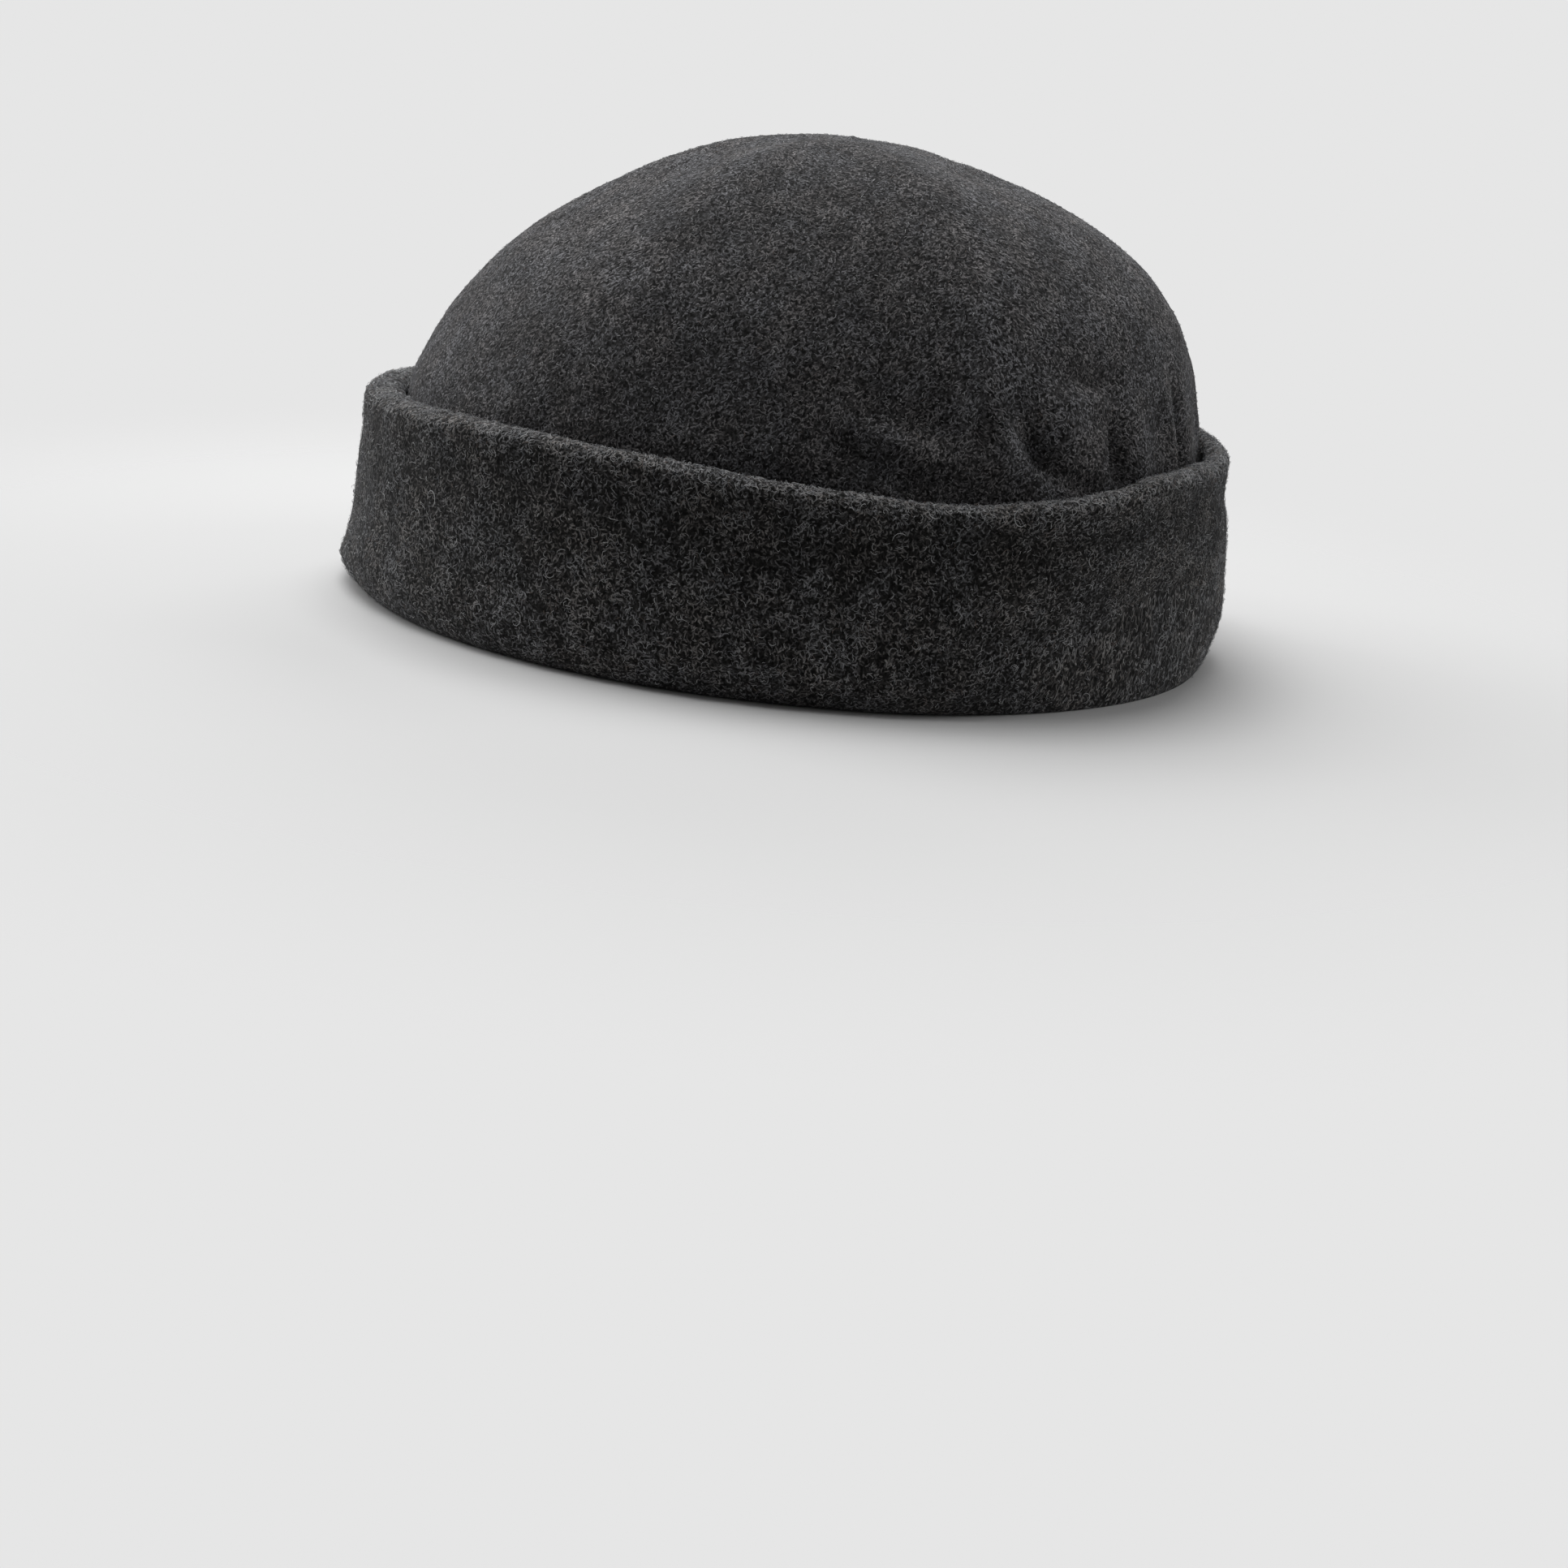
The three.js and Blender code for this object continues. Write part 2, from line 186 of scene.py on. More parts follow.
def outward(surface, turn, share):
    """The outward direction of a surface given as a function of turn and share."""
    low = np.clip(share - small_step, 0, 1)
    high = np.clip(share + small_step, 0, 1 - small_step / 4)
    around = surface(turn + small_step, share) - surface(turn - small_step, share)
    up = surface(turn, high) - surface(turn, low)
    return unit(np.cross(around, up))


def lumps(points, size, depth, seed):
    """Soft unevenness of felted cloth: depth up or down over patches of about size."""
    flat = points.reshape(-1, 3) / size + seed
    values = [noise.noise(Vector(p)) for p in flat]
    return depth * np.array(values).reshape(points.shape[:-1])


def mottled(points, low, high, broad, seed):
    """The cloth's brightness at its points: soft patches from low to high, drawn out upward.
    broad is how strong the wide ones are."""
    wide_patch = 8 * mm
    small_patch = 2.7 * mm
    small_strength = 0.65
    drawn = points * (1, 1, 0.7)
    return low + (high - low) * smooth(0.5 + lumps(drawn, wide_patch, broad, seed)
                                       + lumps(drawn, small_patch, small_strength, seed + 7))


# Painted shade on the crown's felt, patches darkened where the crown lies in shade, and one
# painted lighter patch: turn, rise and half-widths as above, and the change
crown_painted_shades = [
    (51, 0.55, 0.22, 0.14, -0.22),
    (72, 0.61, 0.05, 0.13, -0.12),
    (74, 0.86, 0.16, 0.07, -0.16),
    (101, 0.77, 0.08, 0.08, -0.17),
    (124, 0.7, 0.07, 0.16, 0.1),
    (140, 0.8, 0.1, 0.08, -0.1),
]


def painted_shade_at(points):
    """The painted shade and light on the crown's felt at its points, a factor on its brightness.
    """
    turn = np.arctan2(points[:, 0] / crown_width, -points[:, 1] / crown_length)
    radius = np.hypot(points[:, 0], points[:, 1])
    tone_and_painted_light = np.ones(len(points))
    for shade_turn, shade_rise, across, along, change in crown_painted_shades:
        over = (turn - math.radians(shade_turn)) * radius / (across * crown_height)
        by = (points[:, 2] / crown_height - shade_rise) / along
        tone_and_painted_light += change * np.exp(-(over**2) - by**2)
    return tone_and_painted_light


def crown_push(turn, share):
    """How far seams and folds move the skin out of the smooth form."""
    rise, reach, girth, _ = ring_at(share)
    radius = (reach * crown_length + girth * crown_width) / 4
    height = fold_top + rise * crown_rise
    from_seam = (turn / panel_turn - np.round(turn / panel_turn)) * panel_turn * radius
    push = -seam_dip * np.exp(-(from_seam / seam_reach) ** 2) * smooth(radius / (3 * seam_reach))
    corner = np.sqrt(np.sin(turn * len(panel_names) / 2) ** 2 + corner_round**2)
    upper = (smooth((height / crown_height - corner_from) / corner_grows)
             * smooth(radius / (10 * seam_reach)))
    push += corner_height * (corner_even - corner) * upper
    fade = smooth(radius / (8 * crease_reach))
    push -= crease_dip * np.exp(-(from_seam / crease_reach) ** 2) * fade
    for side in (-1, 1):
        from_stitch = from_seam - side * stitch_line
        push -= stitch_dip * np.exp(-(from_stitch / stitch_reach) ** 2) * fade
    for fold_turn, fold_rise, across, along, lean, depth in crown_folds:
        away = (turn - math.radians(fold_turn)) / math.tau
        sideways = (away - np.round(away)) * math.tau * radius
        upward = height - fold_rise * crown_height
        slant = math.radians(lean)
        over = (sideways * math.cos(slant) - upward * math.sin(slant)) / across
        by = (sideways * math.sin(slant) + upward * math.cos(slant)) / along
        push += fold_depth * depth * np.exp(-(over**2 + by**2) / crown_height**2)
    return push * smooth(2 * height / cuff_height - 1)


def crown_skin(turn, share):
    """Points of the crown's outer face."""
    push = crown_push(turn, share)
    return crown_form(turn, share) + outward(crown_form, turn, share) * push[..., None]


def grid_faces(rows, columns, start=0):
    """Quads of a grid of points, that face the viewer who sees its rows go right and up."""
    faces = []
    for row in range(rows - 1):
        for column in range(columns - 1):
            low = start + row * columns + column
            high = low + columns
            faces.append((low, low + 1, high + 1, high))
    return faces


def new_piece(name, points, faces, material):
    """A smooth-shaded mesh object of that name in the scene."""
    mesh = bpy.data.meshes.new(name)
    mesh.from_pydata(np.asarray(points, float).tolist(), [], faces)
    mesh.shade_smooth()
    mesh.set_sharp_from_angle(angle=sharp_edge)
    mesh.materials.append(material)
    made = bpy.data.objects.new(name, mesh)
    bpy.context.scene.collection.objects.link(made)
    return made


def lay_tone_and_light(piece, tone_and_painted_light):
    """The attribute that the wool reads at each of the cloth's points: its random tone, with
    painted shade and highlight laid on it.
    """
    piece.data.attributes.new("tone_and_painted_light", "FLOAT", "POINT").data.foreach_set("value", tone_and_painted_light.ravel())


def lay_cloth_map(piece, spots, length=None):
    """The map called cloth: each point's place on the cloth in metres. Where a face spans the
    join of a band of that length, its low places are moved past the end."""
    mesh = piece.data
    corners = np.zeros(len(mesh.loops), int)
    mesh.loops.foreach_get("vertex_index", corners)
    places = np.asarray(spots, float)[corners]
    if length:
        faces = places.reshape(-1, 4, 2)
        wrapped = faces[..., 0].max(1) - faces[..., 0].min(1) > length / 2
        faces[wrapped, :, 0] += np.where(faces[wrapped, :, 0] < length / 2, length, 0)
    mesh.uv_layers.new(name="cloth").data.foreach_set("uv", places.ravel())


def add_node(tree, kind, values=None, **settings):
    """A node with its settings, and its inputs set to values or linked to sockets."""
    made = tree.nodes.new(kind)
    for name, value in settings.items():
        setattr(made, name, value)
    for name, value in (values or {}).items():
        if isinstance(value, bpy.types.NodeSocket):
            tree.links.new(value, made.inputs[name])
        else:
            made.inputs[name].default_value = value
    return made


def maths(tree, operation, first, second=0.0):
    """The result of a Math node."""
    made = add_node(tree, "ShaderNodeMath", {0: first, 1: second}, operation=operation)
    return made.outputs[0]


def mix(tree, share, first, second):
    """The first colour taken to the second by a share."""
    made = add_node(tree, "ShaderNodeMix", {0: share, 6: first, 7: second}, data_type="RGBA")
    return made.outputs[2]


def spread(tree, value, low, high, to_low, to_high):
    """A value softly taken from one range to another."""
    made = add_node(tree, "ShaderNodeMapRange", {
        "Value": value, "From Min": low, "From Max": high, "To Min": to_low, "To Max": to_high,
    }, interpolation_type="SMOOTHSTEP")
    return made.outputs["Result"]


def patches(tree, place, size):
    """A noise from about 0.3 to 0.7 in patches of about size."""
    made = add_node(tree, "ShaderNodeTexNoise", {"Vector": place, "Scale": 1 / size})
    return made.outputs["Fac"]


def strokes(tree, place, cell, half, width, bend, shift):
    """Short bent hairs drawn on the cloth, one in each cell: 0 off them, up to 1 on them.
    half is half a hair's length, and shift sets one layer of hairs off from another."""
    moved = add_node(tree, "ShaderNodeVectorMath", {0: place, 1: (shift, 0.7 * shift, 0)},
                     operation="ADD").outputs[0]
    cells = add_node(tree, "ShaderNodeTexVoronoi", {"Vector": moved, "Scale": 1 / cell},
                     voronoi_dimensions="2D", feature="F1")
    local = add_node(tree, "ShaderNodeVectorMath", {0: moved, 1: cells.outputs["Position"]},
                     operation="SUBTRACT").outputs[0]
    chance = add_node(tree, "ShaderNodeSeparateColor", {"Color": cells.outputs["Color"]}).outputs
    rolled = add_node(tree, "ShaderNodeVectorRotate", {
        "Vector": local, "Angle": maths(tree, "MULTIPLY", chance[0], math.tau)},
        rotation_type="Z_AXIS").outputs[0]
    along = add_node(tree, "ShaderNodeSeparateXYZ", {"Vector": rolled}).outputs
    bow = maths(tree, "MULTIPLY", maths(tree, "SUBTRACT", chance[1], 0.5), 2 * bend / cell)
    square = maths(tree, "MULTIPLY", along[0], along[0])
    off = maths(tree, "ABSOLUTE", maths(tree, "SUBTRACT", along[1], maths(
        tree, "MULTIPLY", square, bow)))
    line = spread(tree, off, 0.0, width, 1.0, 0.0)
    ends = spread(tree, square, (0.5 * half) ** 2, half**2, 1.0, 0.0)
    shade = maths(tree, "POWER", chance[2], 3.0)
    return maths(tree, "MULTIPLY", maths(tree, "MULTIPLY", line, ends), shade)


def wool(name, dark, light, cell, relief):
    """A felted wool knit: dark felt under a tangle of light hairs, as bright as the cloth's
    attribute says, its random tone with painted shade and highlight. dark holds the felt's darkest
    and lightest colour, and light the hairs' two tints."""
    material = bpy.data.materials.new(name)
    material.use_nodes = True
    tree = material.node_tree
    shader = tree.nodes["Principled BSDF"]
    place = add_node(tree, "ShaderNodeTexCoord").outputs["Object"]
    # The cloth's random tone and its painted shade and highlight, read from the attribute
    tone_and_painted_light = add_node(tree, "ShaderNodeAttribute", attribute_name="tone_and_painted_light").outputs["Fac"]
    flat = add_node(tree, "ShaderNodeUVMap", uv_map="cloth").outputs["UV"]
    # The hairs' places are moved in small curls, and lie on the cloth in layers
    curl_size = 0.9 * mm
    curl_reach = 0.6 * mm
    curl = add_node(tree, "ShaderNodeTexNoise", {"Vector": flat, "Scale": 1 / curl_size},
                    noise_dimensions="2D").outputs["Color"]
    curl = add_node(tree, "ShaderNodeVectorMath", {0: curl, 1: (-0.5, -0.5, -0.5)},
                    operation="ADD").outputs[0]
    wavy = add_node(tree, "ShaderNodeVectorMath", {
        0: curl, 1: (curl_reach, curl_reach, 0), 2: flat}, operation="MULTIPLY_ADD").outputs[0]
    tangle = 0.0
    layer_scales = (1.3, 1.05, 0.9, 0.75, 0.6)
    for layer, scale in enumerate(layer_scales):
        hair = strokes(tree, wavy, cell=scale * cell, half=0.55 * scale * cell, width=0.25 * mm,
                       bend=0.8, shift=0.173 * layer)
        tangle = maths(tree, "MAXIMUM", tangle, hair)
    # The felt between them is grainy, and the hairs' tint changes in wide patches
    grain_size = 0.8 * mm
    tint_size = 11 * mm
    grain = spread(tree, patches(tree, place, grain_size), 0.36, 0.68, 0.0, 1.0)
    felt = mix(tree, maths(tree, "MULTIPLY", grain, tone_and_painted_light), dark[0], dark[1])
    tint = spread(tree, patches(tree, place, tint_size), 0.35, 0.65, 0.0, 1.0)
    hairs = mix(tree, tint, light[0], light[1])
    colour = mix(tree, maths(tree, "MULTIPLY", tangle, tone_and_painted_light), felt, hairs)
    height = maths(tree, "ADD", tangle, grain)
    bump = add_node(tree, "ShaderNodeBump", {
        "Height": height, "Strength": 1.0, "Distance": relief})
    tree.links.new(colour, shader.inputs["Base Color"])
    tree.links.new(bump.outputs["Normal"], shader.inputs["Normal"])
    shader.inputs["Roughness"].default_value = 0.95
    shader.inputs["Specular IOR Level"].default_value = 0.1
    shader.inputs["Sheen Weight"].default_value = 0.05
    shader.inputs["Sheen Roughness"].default_value = 0.5
    shader.inputs["Sheen Tint"].default_value = (0.85, 0.86, 0.9, 1)
    return material


crown_wool = wool("felted_crown_knit",
                  dark=((0.0052, 0.005, 0.0048, 1), (0.046, 0.045, 0.0455, 1)),
                  light=((0.268, 0.268, 0.285, 1), (0.282, 0.268, 0.27, 1)),
                  cell=1.15 * mm, relief=0.08 * mm)


def panel_points(order):
    """The outer and inner skins of a panel as grids of points, a row for each height."""
    share = np.linspace(0, last_row_share, panel_rows)[:, None]
    even = np.linspace(0, 1, panel_columns)[None, :]
    packed = even - column_packing * np.sin(math.tau * even) / math.tau
    share, packed = np.broadcast_arrays(share, packed)
    plain = (order + packed) * panel_turn
    moved = crown_form(plain + small_step, share) - crown_form(plain - small_step, share)
    speed = np.linalg.norm(moved, axis=-1) / (2 * small_step)
    turn = plain + seam_gap / 2 / speed * (1 - 2 * packed)
    skin = crown_skin(turn, share)
    normal = outward(crown_skin, turn, share)
    lining = skin - normal * crown_cloth
    skin += normal * (lumps(skin, *broad_lumps) + lumps(skin, *fine_lumps))[..., None]
    skin[0, :, 2] = fold_top
    lining[0, :, 2] = fold_top
    return skin, lining


def panel_map(order, skin):
    """Places on the cloth of all a panel's points: along the cap's turn, and up the panel."""
    width = np.linalg.norm(np.diff(skin, axis=1), axis=-1).cumsum(1)
    across = np.hstack([0 * width[:, :1], width]) - width[:, -1:] / 2
    up = np.linalg.norm(np.diff(skin[:, panel_columns // 2], axis=0), axis=-1).cumsum()
    along = np.broadcast_to(np.hstack([0, up])[:, None], across.shape)
    skin_map = np.stack([across + map_spacing * order, along], axis=-1).reshape(-1, 2)
    tip = [(map_spacing * order, along[-1, 0] + 1 * mm)]
    return np.vstack([skin_map, skin_map + lining_away, tip, np.add(tip, lining_away)])


def panel_faces():
    """Quads of both skins, the seam and lower edges between them, and the closed tip."""
    count = panel_rows * panel_columns
    columns = panel_columns
    faces = grid_faces(panel_rows, columns)
    faces += [tuple(reversed(face)) for face in grid_faces(panel_rows, columns, count)]
    for row in range(panel_rows - 1):
        left = row * columns
        right = left + columns - 1
        faces.append((left, left + columns, count + left + columns, count + left))
        faces.append((right + columns, right, count + right, count + right + columns))
    for column in range(columns - 1):
        faces.append((column + 1, column, count + column, count + column + 1))
        top = count - columns + column
        faces.append((top, top + 1, 2 * count))
        faces.append((count + top + 1, count + top, 2 * count + 1))
    faces.append((count - columns, 2 * count, 2 * count + 1, 2 * count - columns))
    faces.append((2 * count, count - 1, 2 * count - 1, 2 * count + 1))
    return faces


def crown_tip(order):
    """The two points beside the middle of the top where a panel ends."""
    top = crown_form(np.array(0.0), np.array(1.0))
    middle = (order + 0.5) * panel_turn
    aside = seam_gap / 2 / math.sin(panel_turn / 2)
    tip = top + np.array([aside * math.sin(middle), -aside * math.cos(middle), -tip_sink])
    return tip, tip - (0, 0, crown_cloth)


# The cuff
# One doubled band of heavier felted knit, turned up round the crown's foot. Its upper edge is a
# soft round fold that stands a little off the crown, its foot kicks out at the front and is
# tucked in at the back, and the cap stands on the flattened fold under it.
cuff_cloth = 5.6 * mm
cuff_room = 4.2 * mm
cuff_settle = 0.5 * mm
cuff_toe = 4 * mm
cuff_belly = 1.2 * mm
cuff_neck = 0.9 * mm
neck_place = 0.78
neck_reach = 0.14
fold_flat = 3.4 * mm
fold_inner_round = 2.4 * mm
fold_outer_round = 9 * mm
cuff_columns = 480
face_steps = 36
foot_steps = 14
edge_steps = 16
last_face_step = foot_steps + face_steps
last_edge_step = last_face_step + edge_steps

# The cuff's felt is as uneven as the crown's, but for the flat fold that it stands on
cuff_broad_lumps = (9 * mm, 0.32 * mm, 5.3)
cuff_fine_lumps = (2.6 * mm, 0.16 * mm, 1.9)
even_foot = 1.5 * mm
even_fade = 4 * mm

# Waves of the cuff: turn as above, height as a share of cuff_height, room, toe, belly and foot
# as shares of the sizes of those names, and plump, the share of the room that the cloth fills.
wave_columns = ("turn", "height", "room", "toe", "belly", "foot", "plump")
cuff_waves = np.array([
    (0, 1.0, 1.04, 1.65, -0.6, 0.75, 1.0),
    (30, 1.005, 0.9, 0.85, -0.2, 1.15, 0.9),
    (52, 1.035, 0.7, 0.5, -0.3, 1.2, 0.5),
    (76, 1.02, 0.45, 0.45, 0.2, 1.1, 0.2),
    (98, 0.975, 0.35, 0.45, -0.1, 0.9, 0.0),
    (117, 0.94, 0.4, 0.6, 0.3, 0.8, 0.0),
    (135, 0.99, 0.85, 0.0, -0.4, 2.0, 0.1),
    (152, 1.065, 0.7, -0.5, -0.4, 2.9, 0.2),
    (168, 1.07, 0.35, -0.1, -0.1, 2.5, 0.1),
    (186, 1.075, 0.15, 0.55, 0.0, 1.7, 0.0),
    (207, 1.085, 0.3, 0.4, 0.2, 1.4, 0.0),
    (240, 1.02, 0.5, 0.4, -0.3, 1.0, 0.0),
    (275, 1.005, 0.45, 0.5, 0.3, 1.1, 0.2),
    (310, 0.985, 0.6, 0.45, -0.3, 1.0, 0.3),
    (338, 0.985, 0.85, 0.9, -0.4, 0.9, 0.8),
])


def waves_at(turn):
    """The values of the waves at turns from 0 up to a full turn."""
    degrees = np.degrees(turn)
    count = len(cuff_waves)
    i = np.searchsorted(cuff_waves[:, 0], degrees, side="right") - 1
    rows = [cuff_waves[(i + k) % count] for k in (-1, 0, 1, 2)]
    width = (rows[2][:, 0] - rows[1][:, 0]) % 360
    t = ((degrees - rows[1][:, 0]) / width)[:, None]
    wave = soften(*rows, t)
    return [wave[:, k] for k in range(1, len(wave_columns))]


def cuff_outline(turn):
    """Distances out of the crown's form and heights of the band's outline, a row per turn."""
    height, room_share, toe_share, belly_share, foot_share, plump = waves_at(turn)
    edge_round = cuff_cloth / 2
    edge_height = cuff_height * height - edge_round
    foot_height = fold_outer_round * foot_share
    room = cuff_settle + (cuff_room - cuff_settle) * room_share
    inner_room = room - (room - cuff_settle) * plump

    def opened(up):
        return smooth((up - fold_seat) / (edge_height - fold_seat))

    def gap_at(up):
        return cuff_settle + (inner_room - cuff_settle) * opened(up)

    def face_at(up):
        share = (up - foot_height) / (edge_height - foot_height)
        return (cuff_settle + (room - cuff_settle) * opened(up) + cuff_cloth
                + cuff_toe * toe_share * (1 - share) ** 2
                + cuff_belly * belly_share * np.sin(math.pi * share)
                - cuff_neck * (1 - plump / 2)
                * np.exp(-((share - neck_place) / neck_reach) ** 2))

    outs = []
    ups = []

    def round_off(out, up, wide, high, first, last, steps):
        for degrees in np.linspace(first, last, steps + 1):
            angle = math.radians(degrees)
            outs.append(out + wide * math.cos(angle) + 0 * turn)
            ups.append(up + high * math.sin(angle) + 0 * turn)

    flat_from = fold_inner_round - crown_cloth
    flat_to = flat_from + fold_flat
    round_off(flat_to, foot_height, face_at(foot_height) - flat_to, foot_height,
              -90, 0, foot_steps)
    for i in range(1, face_steps):
        up = foot_height + (edge_height - foot_height) * i / face_steps
        outs.append(face_at(up))
        ups.append(up)
    edge_wide = (room + cuff_cloth - inner_room) / 2
    round_off(inner_room + edge_wide, edge_height, edge_wide, edge_round, 0, 180, edge_steps)
    for i in range(1, face_steps):
        up = edge_height - (edge_height - fold_seat) * i / face_steps
        outs.append(gap_at(up))
        ups.append(up)
    outs += [cuff_settle + 0 * turn, -crown_cloth / 2 + 0 * turn, -crown_cloth + 0 * turn]
    ups += [fold_seat + 0 * turn] * 3
    round_off(flat_from, fold_inner_round, fold_inner_round, fold_inner_round,
              180, 270, foot_steps // 2)
    return np.stack(outs, axis=1), np.stack(ups, axis=1)


def cuff_points():
    """The band's surface as a grid of points, a row per turn and a column along the outline."""
    above_cuff = 0.7
    turn = np.linspace(0, math.tau, cuff_columns, endpoint=False)
    out, up = cuff_outline(turn)
    shares = np.linspace(0, above_cuff, 2000)
    heights = fold_top + ring_at(shares)[0] * crown_rise
    share = np.interp(up, heights, shares)
    turns = np.broadcast_to(turn[:, None], up.shape)
    sideways = outward(crown_form, turns, share) * (1, 1, 0)
    points = crown_form(turns, share) + unit(sideways) * out[..., None]
    points[..., 2] = up
    return points


def grid_normals(points):
    """Outward directions of a closed grid of points, from its neighbours."""
    along = np.roll(points, -1, 0) - np.roll(points, 1, 0)
    over = np.roll(points, -1, 1) - np.roll(points, 1, 1)
    return unit(np.cross(along, over))


band = cuff_points()
cad_low, cad_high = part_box("cuff")
shift = (np.array(cad_low + cad_high) - band.min((0, 1)) - band.max((0, 1))) / 2 * (1, 1, 0)
band_normals = grid_normals(band)
soft = smooth((band[..., 2] - even_foot) / even_fade)
band += band_normals * (soft * (lumps(band, *cuff_broad_lumps)
                                + lumps(band, *cuff_fine_lumps)))[..., None]
band += shift

# The panels are made here because their shift comes from the cuff's place in the frame
skin_grids = []
for order, name in enumerate(panel_names):
    skin, lining = panel_points(order)
    skin_grids.append(skin.reshape(-1, 3) + shift)
    outer_tip, inner_tip = crown_tip(order)
    grid = np.vstack([skin.reshape(-1, 3), lining.reshape(-1, 3), [outer_tip], [inner_tip]])
    panel = new_piece("wool_" + name, grid + shift, panel_faces(), crown_wool)
    patchy = mottled(grid, low=0.65, high=1.1, broad=0.65, seed=2.2)
    # Each panel's felt: random patches, times its painted shade per panel and the crown's patches
    # of painted shade
    lay_tone_and_light(panel, panel_painted_shades[order] * painted_shade_at(grid) * patchy)
    lay_cloth_map(panel, panel_map(order, skin))
    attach(panel, "root")
    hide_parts(name)
skins = np.vstack(skin_grids)
skin_faces = [face for order in range(len(panel_names)) for face in
              grid_faces(panel_rows, panel_columns, order * panel_rows * panel_columns)]

cuff_wool = wool("felted_cuff_knit",
                 dark=((0.0031, 0.003, 0.0027, 1), (0.025, 0.024, 0.023, 1)),
                 light=((0.3, 0.302, 0.312, 1), (0.315, 0.3, 0.29, 1)),
                 cell=1.35 * mm, relief=0.1 * mm)
rings, steps = band.shape[:2]
band_faces = []
for ring in range(rings):
    after = (ring + 1) % rings
    for step in range(steps):
        beyond = (step + 1) % steps
        band_faces.append((ring * steps + step, after * steps + step,
                           after * steps + beyond, ring * steps + beyond))
cuff = new_piece("wool_cuff", band.reshape(-1, 3), band_faces, cuff_wool)
girth = np.linalg.norm(np.diff(band[:, foot_steps + face_steps // 2], axis=0), axis=-1)
around = np.hstack([0, girth.cumsum()])
outline = np.linalg.norm(np.diff(band, axis=1), axis=-1).mean(0)
over = np.hstack([0, outline.cumsum()])
cuff_map = np.stack(np.meshgrid(around, over, indexing="ij"), axis=-1).reshape(-1, 2)
lay_cloth_map(cuff, cuff_map, around[-1] + girth.mean())
# The rim: a painted highlight along the fold, where more light hairs also grow, and the painted
# shade in the strip under the fold: their places and widths in steps
step_at = np.arange(steps)[None, :]
rim_step = last_face_step + 6
rim_width = 5.0
under_rim_shade_share = 0.72
under_rim_shade_width = 9.0
rim_highlight_and_hairs = np.exp(-((step_at - rim_step) / rim_width) ** 2)
under_rim_shade = np.exp(-((step_at - foot_steps - under_rim_shade_share * face_steps) / under_rim_shade_width) ** 2)
cuff_tone_and_painted_light = mottled(band, low=0.42, high=1.08, broad=0.32, seed=4.4)
# Painted highlight along the rim's fold and painted shade under it, laid on the random patches
cuff_tone_and_painted_light = cuff_tone_and_painted_light * (1 + 0.75 * rim_highlight_and_hairs) * (1 - 0.22 * under_rim_shade)
lay_tone_and_light(cuff, cuff_tone_and_painted_light)
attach(cuff, "root")
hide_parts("cuff")


# The wool's loose fibres
# Light curled hairs of the yarn stand out of the felt all over, most of all on the cuff and its
# upper fold. Each is a thin three-sided tube bent to an arc, half sunk in the cloth.
def plain_fibre(name, colour):
    """The matt finish of one shade of wool hair."""
    material = bpy.data.materials.new(name)
    material.use_nodes = True
    shader = material.node_tree.nodes["Principled BSDF"]
    shader.inputs["Base Color"].default_value = colour
    shader.inputs["Roughness"].default_value = 0.7
    shader.inputs["Specular IOR Level"].default_value = 0.3
    return material


def random_value(tree, kind, low, high, seed):
    """A random number or vector for each fibre."""
    first = {"FLOAT_VECTOR": 0, "FLOAT": 2}[kind]
    made = add_node(tree, "FunctionNodeRandomValue", {first: low, first + 1: high, 8: seed},
                    data_type=kind)
    return made.outputs[first // 2]


